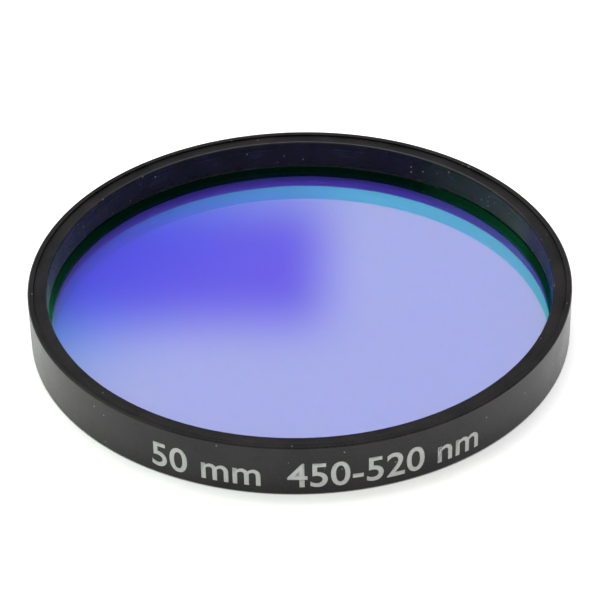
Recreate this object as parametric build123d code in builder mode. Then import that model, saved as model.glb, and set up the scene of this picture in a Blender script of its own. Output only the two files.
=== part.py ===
from build123d import *
import os

# Light pollution filter: a coated glass disc held in a turned cell by a plain pressed-in ring.
# The origin is the centre of the underside and +Z is the optical axis. Lengths are in millimetres.

# Cell: the outer ring that carries everything, with a thin rim around its seat and a ledge under it
cell_diameter = 50.0
cell_height = 5.1
rim_thickness = 0.55
ledge_width = 1.45
ledge_height = 0.45
cell_edge_break = 0.12

# Glass: a flat disc that lies on the ledge
glass_thickness = 1.8
glass_clearance = 0.15
glass_bevel = 0.15

# Retaining ring: holds the glass down, and stops a little below the top of the rim
ring_width = 1.18
ring_clearance = 0.02
ring_recess = 0.2
sight_chamfer = 0.2
foot_chamfer = 0.1

# The small break on the two edges that face each other across the line where ring and rim meet
joint_break = 0.05

# Radii and levels that the pieces share
cell_radius = cell_diameter / 2
seat_radius = cell_radius - rim_thickness
aperture_radius = seat_radius - ledge_width
glass_radius = seat_radius - glass_clearance
ring_outer_radius = seat_radius - ring_clearance
sight_radius = ring_outer_radius - ring_width
glass_top = ledge_height + glass_thickness
ring_top = cell_height - ring_recess

os.makedirs("parts", exist_ok=True)

# The cell is turned from one piece: its section is bored from above, and the ledge is left at the foot
with BuildPart() as filter_cell:
    with BuildSketch(Plane.XZ):
        with BuildLine():
            Polyline(
                (aperture_radius, 0),
                (cell_radius, 0),
                (cell_radius, cell_height),
                (seat_radius, cell_height),
                (seat_radius, ledge_height),
                (aperture_radius, ledge_height),
                close=True,
            )
        make_face()
    revolve(axis=Axis.Z)
    cell_edges = filter_cell.edges().filter_by(GeomType.CIRCLE)
    outer_edges = cell_edges.group_by(SortBy.RADIUS)[-1]
    rim_inner_edge = cell_edges.group_by(Axis.Z)[-1].sort_by(SortBy.RADIUS)[0]
    chamfer(outer_edges, cell_edge_break)
    chamfer(rim_inner_edge, joint_break)
filter_cell.part.label = "filter_cell"
export_step(filter_cell.part, "parts/filter_cell.step")

# The glass is a plane-parallel disc, bevelled on both edges, that lies on the ledge
with BuildPart() as filter_glass:
    with BuildSketch(Plane.XY.offset(ledge_height)):
        Circle(glass_radius)
    extrude(amount=glass_thickness)
    chamfer(filter_glass.edges().filter_by(GeomType.CIRCLE), glass_bevel)
filter_glass.part.label = "filter_glass"
export_step(filter_glass.part, "parts/filter_glass.step")

# The retaining ring stands on the glass, and its bore is the wall seen around the glass from above
with BuildPart() as retaining_ring:
    with BuildSketch(Plane.XY.offset(glass_top)):
        Circle(ring_outer_radius)
        Circle(sight_radius, mode=Mode.SUBTRACT)
    extrude(amount=ring_top - glass_top)
    foot_edges, top_edges = retaining_ring.edges().filter_by(GeomType.CIRCLE).group_by(Axis.Z)
    foot_inner_edge = foot_edges.sort_by(SortBy.RADIUS)[0]
    top_inner_edge, top_outer_edge = top_edges.sort_by(SortBy.RADIUS)
    chamfer(foot_inner_edge, foot_chamfer)
    chamfer(top_inner_edge, sight_chamfer)
    chamfer(top_outer_edge, joint_break)
retaining_ring.part.label = "retaining_ring"
export_step(retaining_ring.part, "parts/retaining_ring.step")
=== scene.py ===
"""Light pollution filter: a coated glass disc held in a black cell by a pressed-in ring."""

import math

import bmesh
import bpy
from mathutils import Matrix, Vector


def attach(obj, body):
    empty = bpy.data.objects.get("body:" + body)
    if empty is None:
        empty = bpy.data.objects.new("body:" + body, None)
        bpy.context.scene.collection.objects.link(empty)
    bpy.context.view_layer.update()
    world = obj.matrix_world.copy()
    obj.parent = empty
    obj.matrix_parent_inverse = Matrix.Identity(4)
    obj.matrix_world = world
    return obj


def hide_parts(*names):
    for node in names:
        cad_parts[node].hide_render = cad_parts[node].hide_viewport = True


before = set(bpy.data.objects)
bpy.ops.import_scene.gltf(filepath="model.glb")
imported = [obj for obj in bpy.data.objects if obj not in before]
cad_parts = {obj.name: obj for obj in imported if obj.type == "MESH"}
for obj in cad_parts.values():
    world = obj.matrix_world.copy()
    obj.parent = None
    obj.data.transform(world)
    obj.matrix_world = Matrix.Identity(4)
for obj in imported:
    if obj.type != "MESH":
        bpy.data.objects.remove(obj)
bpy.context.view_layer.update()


# The cell is turned from aluminium bar in one piece: a plain band outside, a seat for the
# glass inside, and a thin rim standing round the seat. It is blasted lightly and anodised
# black. Its flat top is more matt than its walls.

mm = 0.001

cell_radius = 24.985
cell_height = 5.1
cell_edge_break = 0.12
seat_radius = 24.45
rim_break = 0.05
ledge_radius = 23.0
ledge_top = 0.45
turned_steps = 360
edge_rounding = 0.02
least_corner = math.radians(20)
flat_upright = 0.95
same_point = 1e-8

cell_section = [
    (ledge_radius, 0.0),
    (cell_radius - cell_edge_break, 0.0),
    (cell_radius, cell_edge_break),
    (cell_radius, cell_height - cell_edge_break),
    (cell_radius - cell_edge_break, cell_height),
    (seat_radius + rim_break, cell_height),
    (seat_radius, cell_height - rim_break),
    (seat_radius, ledge_top),
    (ledge_radius, ledge_top),
]


def piece_from(bm, name, *materials):
    """A shown piece with this mesh, at the origin, that rides with the filter."""
    mesh = bpy.data.meshes.new(name)
    bm.to_mesh(mesh)
    bm.free()
    piece = bpy.data.objects.new(name, mesh)
    bpy.context.scene.collection.objects.link(piece)
    for material in materials:
        mesh.materials.append(material)
    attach(piece, "root")
    return piece


def turned(section):
    """A ring turned from a closed section of (radius, height) points in millimetres, with its
    edges rounded. Faces get material 1 where they look straight up, and 0 elsewhere."""
    bm = bmesh.new()
    points = [bm.verts.new((r * mm, 0, z * mm)) for r, z in section]
    loop = [
        bm.edges.new(ends) for ends in zip(points, points[1:] + points[:1], strict=True)
    ]
    bmesh.ops.spin(
        bm,
        geom=points + loop,
        cent=(0, 0, 0),
        axis=(0, 0, 1),
        angle=math.tau,
        steps=turned_steps,
        use_merge=True,
    )
    bmesh.ops.remove_doubles(bm, verts=bm.verts, dist=same_point)
    bmesh.ops.recalc_face_normals(bm, faces=bm.faces)
    corners = [
        edge
        for edge in bm.edges
        if len(edge.link_faces) == 2 and edge.calc_face_angle() > least_corner
    ]
    bmesh.ops.bevel(
        bm,
        geom=corners,
        offset=edge_rounding * mm,
        segments=2,
        profile=0.5,
        affect="EDGES",
        material=-1,
    )
    bm.normal_update()
    for face in bm.faces:
        face.smooth = True
        face.material_index = 1 if face.normal.z > flat_upright else 0
    return bm


def even_shading(piece):
    """Keeps flat and straight faces looking so beside their rounded edges."""
    shading = piece.modifiers.new("even_shading", "WEIGHTED_NORMAL")
    shading.keep_sharp = True
    shading.weight = 100


def new_material(name):
    """A material, its node tree and its shader."""
    material = bpy.data.materials.new(name)
    material.use_nodes = True
    tree = material.node_tree
    return material, tree, tree.nodes["Principled BSDF"]


def new_group(name, inputs, outputs):
    """A shader node group, its input node and its output node."""
    group = bpy.data.node_groups.new(name, "ShaderNodeTree")
    for label, kind, value in inputs:
        socket = group.interface.new_socket(label, in_out="INPUT", socket_type=kind)
        if value is not None:
            socket.default_value = value
    for label, kind in outputs:
        group.interface.new_socket(label, in_out="OUTPUT", socket_type=kind)
    start = group.nodes.new("NodeGroupInput")
    end = group.nodes.new("NodeGroupOutput")
    return group, start, end


def node(tree, kind, inputs=(), **settings):
    """A node with its settings. Each input gets a link from a socket, or a plain value."""
    made = tree.nodes.new(kind)
    for key, value in settings.items():
        setattr(made, key, value)
    for label, source in inputs:
        if isinstance(source, bpy.types.NodeSocket):
            tree.links.new(source, made.inputs[label])
        else:
            made.inputs[label].default_value = source
    return made


def calculated(tree, operation, first, second):
    """The result of one sum with two values or sockets."""
    pair = [(0, first), (1, second)]
    return node(tree, "ShaderNodeMath", pair, operation=operation).outputs[0]


def between(tree, share, first, second):
    """A value between two others."""
    inputs = [(0, share), (2, first), (3, second)]
    return node(tree, "ShaderNodeMix", inputs).outputs[0]


def blended(tree, share, first, second, way="MIX"):
    """A colour between two others, or the first with the second laid on in another way."""
    inputs = [(0, share), (6, first), (7, second)]
    mix = node(tree, "ShaderNodeMix", inputs, data_type="RGBA", blend_type=way)
    return mix.outputs[2]


def ranged(tree, value, before=(0.0, 1.0), after=(0.0, 1.0), way="LINEAR"):
    """A value carried from one range to another, and kept inside it."""
    inputs = [
        ("Value", value),
        ("From Min", before[0]),
        ("From Max", before[1]),
        ("To Min", after[0]),
        ("To Max", after[1]),
    ]
    return node(tree, "ShaderNodeMapRange", inputs, interpolation_type=way).outputs[0]


def noise(tree, place, scale, detail, dimensions="3D"):
    """Soft noise between 0 and 1."""
    inputs = [("Vector", place), ("Scale", scale), ("Detail", detail)]
    made = node(tree, "ShaderNodeTexNoise", inputs, noise_dimensions=dimensions)
    return made.outputs[0]


def object_place(tree):
    """Where a point lies on the piece."""
    return node(tree, "ShaderNodeTexCoord").outputs["Object"]


def length_of(tree, vector):
    """How long a vector is."""
    made = node(tree, "ShaderNodeVectorMath", [(0, vector)], operation="LENGTH")
    return made.outputs["Value"]


def anodised_finish_group():
    """Blasted grain, faint turning lines and soft clouds on anodised metal."""
    group, start, end = new_group(
        "anodised_finish",
        [
            ("Dark", "NodeSocketColor", (0.01, 0.01, 0.011, 1)),
            ("Light", "NodeSocketColor", (0.03, 0.03, 0.032, 1)),
            ("Smoothest", "NodeSocketFloat", 0.35),
            ("Roughest", "NodeSocketFloat", 0.5),
            ("Grain Size", "NodeSocketFloat", 0.06),
            ("Turning Pitch", "NodeSocketFloat", 0.12),
            ("Turning", "NodeSocketFloat", 0.3),
        ],
        [
            ("Color", "NodeSocketColor"),
            ("Roughness", "NodeSocketFloat"),
            ("Height", "NodeSocketFloat"),
        ],
    )
    clouds_per_mm = 0.35
    usual_noise = (0.35, 0.65)

    place = object_place(group)
    grain_scale = calculated(group, "DIVIDE", 1 / mm, start.outputs["Grain Size"])
    grain = noise(group, place, grain_scale, detail=2.0)
    cloud = noise(group, place, clouds_per_mm / mm, detail=4.0)

    # The turning lines run round the axis, so they change only with radius and height.
    level_place = node(
        group, "ShaderNodeVectorMath", [(0, place), (1, (1, 1, 0))], operation="MULTIPLY"
    ).outputs[0]
    height_above = node(group, "ShaderNodeSeparateXYZ", [(0, place)]).outputs["Z"]
    section_place = node(
        group,
        "ShaderNodeCombineXYZ",
        [("X", length_of(group, level_place)), ("Y", height_above)],
    ).outputs[0]
    line_scale = calculated(group, "DIVIDE", 1 / mm, start.outputs["Turning Pitch"])
    lines = noise(group, section_place, line_scale, detail=1.0, dimensions="2D")

    height = between(group, start.outputs["Turning"], grain, lines)
    spread = ranged(group, between(group, 0.5, height, cloud), before=usual_noise)
    colour = blended(group, spread, start.outputs["Dark"], start.outputs["Light"])
    rough = between(
        group, spread, start.outputs["Smoothest"], start.outputs["Roughest"]
    )
    group.links.new(colour, end.inputs["Color"])
    group.links.new(rough, end.inputs["Roughness"])
    group.links.new(height, end.inputs["Height"])
    return group


def settled_dust_group():
    """Sparse specks of settled dust laid over a surface's colour and roughness."""
    group, start, end = new_group(
        "settled_dust",
        [
            ("Color", "NodeSocketColor", (0.01, 0.01, 0.01, 1)),
            ("Roughness", "NodeSocketFloat", 0.4),
            ("Speck Spacing", "NodeSocketFloat", 0.9),
            ("Speck Size", "NodeSocketFloat", 0.09),
            ("Dust Color", "NodeSocketColor", (0.35, 0.4, 0.36, 1)),
        ],
        [("Color", "NodeSocketColor"), ("Roughness", "NodeSocketFloat")],
    )
    bare_share = 0.60
    dust_roughness = 0.9

    scale = calculated(group, "DIVIDE", 1 / mm, start.outputs["Speck Spacing"])
    cells = node(
        group, "ShaderNodeTexVoronoi", [("Vector", object_place(group)), ("Scale", scale)]
    )
    chance = node(group, "ShaderNodeSeparateColor", [(0, cells.outputs["Color"])])
    near = calculated(
        group, "LESS_THAN", cells.outputs["Distance"], start.outputs["Speck Size"]
    )
    chosen = calculated(group, "GREATER_THAN", chance.outputs[0], bare_share)
    bright = calculated(group, "MULTIPLY", chance.outputs[1], near)
    mask = calculated(group, "MULTIPLY", bright, chosen)
    colour = blended(group, mask, start.outputs["Color"], start.outputs["Dust Color"])
    rough = between(group, mask, start.outputs["Roughness"], dust_roughness)
    group.links.new(colour, end.inputs["Color"])
    group.links.new(rough, end.inputs["Roughness"])
    return group


anodised_finish = anodised_finish_group()
settled_dust = settled_dust_group()


def black_anodised(name, finish, dust, bump_depth, specular):
    """Anodised aluminium with its grain, its turning lines and a little dust."""
    material, tree, shader = new_material(name)
    metal = node(
        tree, "ShaderNodeGroup", list(finish.items()), node_tree=anodised_finish
    )
    dusty = node(
        tree,
        "ShaderNodeGroup",
        [
            ("Color", metal.outputs["Color"]),
            ("Roughness", metal.outputs["Roughness"]),
            *dust.items(),
        ],
        node_tree=settled_dust,
    )
    bump = node(
        tree,
        "ShaderNodeBump",
        [
            ("Height", metal.outputs["Height"]),
            ("Distance", bump_depth * mm),
            ("Strength", 1.0),
        ],
    )
    shader.inputs["Specular IOR Level"].default_value = specular
    tree.links.new(dusty.outputs["Color"], shader.inputs["Base Color"])
    tree.links.new(dusty.outputs["Roughness"], shader.inputs["Roughness"])
    tree.links.new(bump.outputs["Normal"], shader.inputs["Normal"])
    return material


cell_black = black_anodised(
    "black_anodised_cell",
    finish={
        "Dark": (0.005, 0.0038, 0.0050, 1),
        "Light": (0.020, 0.0158, 0.0195, 1),
        "Smoothest": 0.24,
        "Roughest": 0.36,
        "Grain Size": 0.11,
        "Turning Pitch": 0.14,
        "Turning": 0.2,
    },
    dust={"Speck Spacing": 0.9, "Speck Size": 0.08},
    bump_depth=0.012,
    specular=0.27,
)

flat_black = black_anodised(
    "black_anodised_flat",
    finish={
        "Dark": (0.002, 0.0015, 0.0019, 1),
        "Light": (0.021, 0.0166, 0.0184, 1),
        "Smoothest": 0.45,
        "Roughest": 0.60,
        "Grain Size": 0.20,
        "Turning Pitch": 0.14,
        "Turning": 0.2,
    },
    dust={"Speck Spacing": 0.9, "Speck Size": 0.08},
    bump_depth=0.012,
    specular=0.10,
)

turned_cell = piece_from(turned(cell_section), "turned_cell", cell_black, flat_black)
even_shading(turned_cell)
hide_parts("filter_cell")


# The filter is a ground and polished glass disc with a thin-film coating on each face. It
# lies on the cell's ledge. Its upper face mirrors mostly green and its lower face mostly
# red, both with some blue, and blue light passes through it best.

glass_radius = 24.3
glass_bottom = 0.45
glass_top = 2.25
glass_bevel = 0.15
glass_ior = 1.52
disc_rim_angle = math.radians(60)
sharp_angle = math.radians(30)

upper_mirror_share = 0.34
upper_mirror_colour = (0.06, 0.97, 0.45, 1)
upper_pass_colour = (1.30, 0.90, 1.30, 1)
lower_mirror_share = 0.28
lower_mirror_colour = (1.36, 0.38, 0.50, 1)
lower_pass_colour = (0.44, 0.54, 1.23, 1)
grazing_mirror_colour = (1, 1, 1, 1)
grazing_steepness = 6.0


def coated_face(name, share, mirror_colour, pass_colour):
    """Clear glass under a thin-film coating, which mirrors its share of the light in one
    colour and passes the rest in another. At a grazing angle it mirrors all of it."""
    material, tree, plain_shader = new_material(name)
    tree.nodes.remove(plain_shader)
    slant = node(tree, "ShaderNodeLayerWeight", [("Blend", 0.5)]).outputs["Facing"]
    grazing = calculated(tree, "POWER", slant, grazing_steepness)
    mirrored = ranged(tree, grazing, after=(share, 1.0))
    colour = blended(tree, grazing, mirror_colour, grazing_mirror_colour)
    mirror = node(
        tree, "ShaderNodeBsdfAnisotropic", [("Color", colour), ("Roughness", 0.0)]
    )
    through = node(
        tree,
        "ShaderNodeBsdfRefraction",
        [("Color", pass_colour), ("Roughness", 0.0), ("IOR", glass_ior)],
    )
    coated = node(
        tree,
        "ShaderNodeMixShader",
        [(0, mirrored), (1, through.outputs[0]), (2, mirror.outputs[0])],
    )
    surface = tree.nodes["Material Output"].inputs["Surface"]
    tree.links.new(coated.outputs[0], surface)
    return material


upper_coating = coated_face(
    "upper_coating", upper_mirror_share, upper_mirror_colour, upper_pass_colour
)
lower_coating = coated_face(
    "lower_coating", lower_mirror_share, lower_mirror_colour, lower_pass_colour
)


def mottled(name, mottles_per_mm, detail, dark, light, roughness):
    """A dull surface that wanders between two colours and two roughnesses."""
    material, tree, shader = new_material(name)
    mottle = noise(tree, object_place(tree), mottles_per_mm / mm, detail)
    colour = blended(tree, mottle, dark, light)
    rough = ranged(tree, mottle, after=roughness)
    tree.links.new(colour, shader.inputs["Base Color"])
    tree.links.new(rough, shader.inputs["Roughness"])
    return material


ground_edge = mottled(
    "ground_glass_edge",
    mottles_per_mm=12,
    detail=3.0,
    dark=(0.22, 0.30, 0.26, 1),
    light=(0.34, 0.42, 0.37, 1),
    roughness=(0.6, 0.9),
)


def extruded(bm, height):
    """Raises all the faces of a flat mesh into a solid."""
    raised = bmesh.ops.extrude_face_region(bm, geom=bm.faces[:])
    bmesh.ops.translate(
        bm,
        vec=(0, 0, height),
        verts=[v for v in raised["geom"] if isinstance(v, bmesh.types.BMVert)],
    )


def glass_disc():
    """The disc with its ground bevels. Faces get material 0 above, 1 below and 2 around."""
    bm = bmesh.new()
    bmesh.ops.create_circle(
        bm, cap_ends=True, segments=turned_steps, radius=glass_radius * mm
    )
    bmesh.ops.translate(bm, vec=(0, 0, glass_bottom * mm), verts=bm.verts)
    extruded(bm, (glass_top - glass_bottom) * mm)
    bmesh.ops.recalc_face_normals(bm, faces=bm.faces)
    rims = [edge for edge in bm.edges if edge.calc_face_angle(0) > disc_rim_angle]
    bmesh.ops.bevel(
        bm,
        geom=rims,
        offset=glass_bevel * mm,
        segments=1,
        profile=0.5,
        affect="EDGES",
        material=-1,
    )
    for face in bm.faces:
        upright = face.normal.z
        face.material_index = (
            0 if upright > flat_upright else 1 if upright < -flat_upright else 2
        )
        face.smooth = face.material_index == 2
    return bm


coated_disc = piece_from(
    glass_disc(), "coated_disc", upper_coating, lower_coating, ground_edge
)
coated_disc.data.set_sharp_from_angle(angle=sharp_angle)
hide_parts("filter_glass")


# The retaining ring is a plain turned ring, pressed into the cell's seat until it holds the
# glass. It is anodised black like the cell, with a smoother bore, and its walls are given a
# purple tint, a painted reflection of the lavender glass. The bore is rounded off at the
# top, and the ring stops a little below the rim.

ring_outer_radius = 24.43
ring_bore_radius = 23.25
ring_foot = 2.25
ring_top = 4.9
sight_edge = 0.2
sight_edge_steps = 6
foot_chamfer = 0.1

ring_section = [
    (ring_bore_radius + foot_chamfer, ring_foot),
    (ring_outer_radius, ring_foot),
    (ring_outer_radius, ring_top),
]
for i in range(sight_edge_steps + 1):
    around = math.pi / 2 * (1 - i / sight_edge_steps)
    ring_section.append(
        (
            ring_bore_radius + sight_edge * (1 - math.cos(around)),
            ring_top - sight_edge * (1 - math.sin(around)),
        )
    )
ring_section.append((ring_bore_radius, ring_foot + foot_chamfer))

# The black is the anodising; the purple tint in these colours is a painted reflection of the
# glass
ring_black_painted_reflection = black_anodised(
    "black_anodised_ring",
    finish={
        "Dark": (0.007, 0.0045, 0.0120, 1),
        "Light": (0.015, 0.0110, 0.0220, 1),
        "Smoothest": 0.20,
        "Roughest": 0.30,
        "Grain Size": 0.09,
        "Turning Pitch": 0.10,
        "Turning": 0.5,
    },
    dust={"Speck Spacing": 0.6, "Speck Size": 0.12},
    bump_depth=0.007,
    specular=0.28,
)

pressed_ring = piece_from(turned(ring_section), "pressed_ring", ring_black_painted_reflection, flat_black)
even_shading(pressed_ring)
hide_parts("retaining_ring")


# The band carries a plain white marking, burnt into the anodised skin by a laser, which
# bleaches it a little unevenly. It only says how wide the filter is and which light it
# passes.

marking_words = "50 mm  450-520 nm"
marking_height = 2.6
marking_foot = 0.8
marking_middle = math.radians(3)
marking_boldness = 0.045
marking_spacing = 1.02
marking_outer = 25.0
marking_depth = 0.03
marking_slice = 0.25
capital_share = 0.7
letter_join = 1e-7

laser_white = mottled(
    "laser_white",
    mottles_per_mm=9,
    detail=2.0,
    dark=(0.34, 0.34, 0.34, 1),
    light=(0.62, 0.63, 0.62, 1),
    roughness=(0.55, 0.8),
)


def flat_words():
    """The words as a flat mesh, at the font's own scale."""
    curve = bpy.data.curves.new("marking_words", "FONT")
    curve.body = marking_words
    curve.size = marking_height * mm / capital_share
    curve.space_character = marking_spacing
    curve.offset = marking_boldness * mm
    flat = bpy.data.objects.new("marking_words", curve)
    mesh = bpy.data.meshes.new_from_object(flat)
    bm = bmesh.new()
    bm.from_mesh(mesh)
    bpy.data.objects.remove(flat)
    bpy.data.meshes.remove(mesh)
    bpy.data.curves.remove(curve)
    bmesh.ops.remove_doubles(bm, verts=bm.verts, dist=letter_join)
    return bm


def marking_mesh():
    """The words at their own height, as a thin solid wrapped round the band."""
    bm = flat_words()
    low = Vector([min(v.co[i] for v in bm.verts) for i in range(3)])
    high = Vector([max(v.co[i] for v in bm.verts) for i in range(3)])
    scale = marking_height * mm / (high.y - low.y)
    bmesh.ops.translate(bm, vec=(-(low.x + high.x) / 2, -low.y, 0), verts=bm.verts)
    bmesh.ops.scale(bm, vec=(scale, scale, scale), verts=bm.verts)

    # Upright cuts let the long flat faces bend with the band.
    half = (high.x - low.x) / 2 * scale
    for i in range(1, int(2 * half / (marking_slice * mm))):
        bmesh.ops.bisect_plane(
            bm,
            geom=bm.verts[:] + bm.edges[:] + bm.faces[:],
            plane_co=(-half + i * marking_slice * mm, 0, 0),
            plane_no=(1, 0, 0),
            dist=same_point,
        )
    extruded(bm, marking_depth * mm)

    inner = (marking_outer - marking_depth) * mm
    for v in bm.verts:
        turn = marking_middle + v.co.x / (marking_outer * mm)
        radius = inner + v.co.z
        v.co = (
            radius * math.sin(turn),
            -radius * math.cos(turn),
            marking_foot * mm + v.co.y,
        )
    bmesh.ops.recalc_face_normals(bm, faces=bm.faces)
    return bm


band_marking = piece_from(marking_mesh(), "band_marking", laser_white)


# The floor is a pale matt sheet. It is lit a little from below, but not where the filter's
# foot covers it.

floor_half = 2.0
floor_pale = (0.93, 0.93, 0.93, 1)
floor_roughness = 0.9
floor_glow = 0.45


def studio_floor():
    """The sheet, as a part of the stage."""
    bm = bmesh.new()
    bmesh.ops.create_grid(bm, x_segments=1, y_segments=1, size=floor_half)
    mesh = bpy.data.meshes.new("studio_floor")
    bm.to_mesh(mesh)
    bm.free()
    floor = bpy.data.objects.new("studio_floor", mesh)
    bpy.context.scene.collection.objects.link(floor)

    material, tree, shader = new_material("pale_floor")
    shader.inputs["Base Color"].default_value = floor_pale
    shader.inputs["Roughness"].default_value = floor_roughness
    shader.inputs["Specular IOR Level"].default_value = 0.0
    shader.inputs["Emission Color"].default_value = (1, 1, 1, 1)
    reach = length_of(tree, object_place(tree))
    beyond = calculated(tree, "GREATER_THAN", reach, cell_radius * mm)
    glow = calculated(tree, "MULTIPLY", beyond, floor_glow)
    tree.links.new(glow, shader.inputs["Emission Strength"])
    mesh.materials.append(material)


studio_floor()


# The camera looks down at the filter from in front, as the photograph does, from near
# enough to show the band narrower at the sides than in front.

camera_pitch = math.radians(35.902)
camera_roll = math.radians(-1.160)
camera_elevation = math.radians(36.372)
camera_distance = 0.2330
camera_lens = 150.0
camera_sensor = 36.0
camera_clip_start = 0.01

forward = Vector((0, math.cos(camera_pitch), -math.sin(camera_pitch)))
level = Vector((1, 0, 0))
upward = level.cross(forward)
right = level * math.cos(camera_roll) + upward * math.sin(camera_roll)
up = upward * math.cos(camera_roll) - level * math.sin(camera_roll)

lens = bpy.data.cameras.new("studio_camera")
lens.lens = camera_lens
lens.sensor_width = camera_sensor
lens.clip_start = camera_clip_start
camera = bpy.data.objects.new("studio_camera", lens)
camera.matrix_world = Matrix(
    (
        (right.x, up.x, -forward.x, 0),
        (right.y, up.y, -forward.y, -camera_distance * math.cos(camera_elevation)),
        (right.z, up.z, -forward.z, camera_distance * math.sin(camera_elevation)),
        (0, 0, 0, 1),
    )
)
bpy.context.scene.collection.objects.link(camera)
bpy.context.scene.camera = camera


# The surround is a soft bright ceiling over dim walls, with soft-edged parts laid over them
# one after another. The glass and the black faces mirror them, and they light the filter.

wall_colour = (0.34, 0.36, 0.30, 1)
ceiling_colour = (0.60, 0.57, 0.61, 1)
ceiling_starts = math.sin(math.radians(42))
ceiling_full = math.sin(math.radians(58))


def soft_patch_group():
    """How far a direction lies inside a soft-edged patch: 1 within, 0 without."""
    group, start, end = new_group(
        "soft_patch",
        [
            ("Direction", "NodeSocketVector", None),
            ("Ahead", "NodeSocketVector", None),
            ("Right", "NodeSocketVector", None),
            ("Up", "NodeSocketVector", None),
            ("Left Edge", "NodeSocketFloat", -0.1),
            ("Right Edge", "NodeSocketFloat", 0.1),
            ("Lower Edge", "NodeSocketFloat", -0.1),
            ("Upper Edge", "NodeSocketFloat", 0.1),
            ("Softness", "NodeSocketFloat", 0.02),
        ],
        [("Inside", "NodeSocketFloat")],
    )

    def along(label):
        """How far the direction reaches along one of the patch's own directions."""
        return node(
            group,
            "ShaderNodeVectorMath",
            [(0, start.outputs["Direction"]), (1, start.outputs[label])],
            operation="DOT_PRODUCT",
        ).outputs["Value"]

    edges = start.outputs
    ahead = along("Ahead")
    across = calculated(group, "DIVIDE", along("Right"), ahead)
    above = calculated(group, "DIVIDE", along("Up"), ahead)
    inside = calculated(group, "GREATER_THAN", ahead, 0.0)
    for larger, smaller in (
        (across, edges["Left Edge"]),
        (edges["Right Edge"], across),
        (above, edges["Lower Edge"]),
        (edges["Upper Edge"], above),
    ):
        depth = calculated(group, "SUBTRACT", larger, smaller)
        share = calculated(group, "DIVIDE", depth, edges["Softness"])
        within = ranged(group, share, before=(-1.0, 1.0), way="SMOOTHERSTEP")
        inside = calculated(group, "MULTIPLY", inside, within)
    group.links.new(inside, end.inputs["Inside"])
    return group


def looking(turn_left, raised):
    """The ahead, right and up of a look turned left from straight behind, and raised."""
    turn, lift = math.radians(turn_left), math.radians(raised)
    ahead = Vector(
        (-math.sin(turn) * math.cos(lift), math.cos(turn) * math.cos(lift), math.sin(lift))
    )
    aside = ahead.cross(Vector((0, 0, 1))).normalized()
    return [ahead, aside, aside.cross(ahead)]


def tilted(directions, across, upward_share):
    """The same look with its right turned down, so that the edges of a part lie aslant."""
    ahead, aside, above = directions
    return [
        ahead,
        aside * across - above * upward_share,
        aside * upward_share + above * across,
    ]


# The look that the glass mirrors towards the camera in the middle of the picture
mirrored_view = [Vector((v.x, v.y, -v.z)) for v in (forward, right, up)]

# Each part has its directions, its left, right, lower and upper edges as slopes, its
# softness, its colour, and the way in which it is laid on.
surround_parts = [
    # A large lamp high behind
    (looking(8, 67), (-0.36, 0.36, -0.30, 0.26), 0.07, (6.0, 6.0, 6.0, 1), "MIX"),
    # A window on the left
    (looking(84, 34), (-0.50, 0.55, -0.25, 0.35), 0.08, (1.2, 1.6, 1.1, 1), "MIX"),
    # A dimmer stretch in front
    (looking(180, 45), (-0.60, 0.60, -0.70, 0.50), 0.20, (0.50, 0.48, 0.50, 1), "MIX"),
    # A white panel straight behind
    (looking(0, 35), (-0.20, 0.20, -0.16, 0.18), 0.07, (1.0, 1.0, 1.0, 1), "MIX"),
    # A blue gap in the panel
    (mirrored_view, (-0.30, 0.010, -0.010, 0.038), 0.022, (0.24, 0.20, 1.0, 1), "MIX"),
    # The panel's left side, which a blue shade crosses aslant
    (
        tilted(mirrored_view, 0.65, 0.76),
        (-0.30, -0.043, -0.30, 0.30),
        0.040,
        (0.05, 0.55, 0.85, 1),
        "MULTIPLY",
    ),
]
direction_labels = ("Ahead", "Right", "Up")
edge_labels = ("Left Edge", "Right Edge", "Lower Edge", "Upper Edge")


def studio_surround():
    """The world, with the walls, the ceiling and the parts laid over them."""
    world = bpy.data.worlds.new("studio_surround")
    world.use_nodes = True
    bpy.context.scene.world = world
    tree = world.node_tree
    soft_patch = soft_patch_group()
    direction = node(tree, "ShaderNodeTexCoord").outputs["Generated"]
    height = node(tree, "ShaderNodeSeparateXYZ", [(0, direction)]).outputs["Z"]
    overhead = ranged(
        tree, height, before=(ceiling_starts, ceiling_full), way="SMOOTHERSTEP"
    )
    colour = blended(tree, overhead, wall_colour, ceiling_colour)
    for directions, edges, softness, part_colour, way in surround_parts:
        patch = node(
            tree,
            "ShaderNodeGroup",
            [
                ("Direction", direction),
                *zip(direction_labels, directions, strict=True),
                *zip(edge_labels, edges, strict=True),
                ("Softness", softness),
            ],
            node_tree=soft_patch,
        )
        colour = blended(tree, patch.outputs["Inside"], colour, part_colour, way)
    background = tree.nodes["Background"]
    tree.links.new(colour, background.inputs["Color"])
    background.inputs["Strength"].default_value = 1.0


studio_surround()
bpy.context.scene.view_settings.view_transform = "Standard"
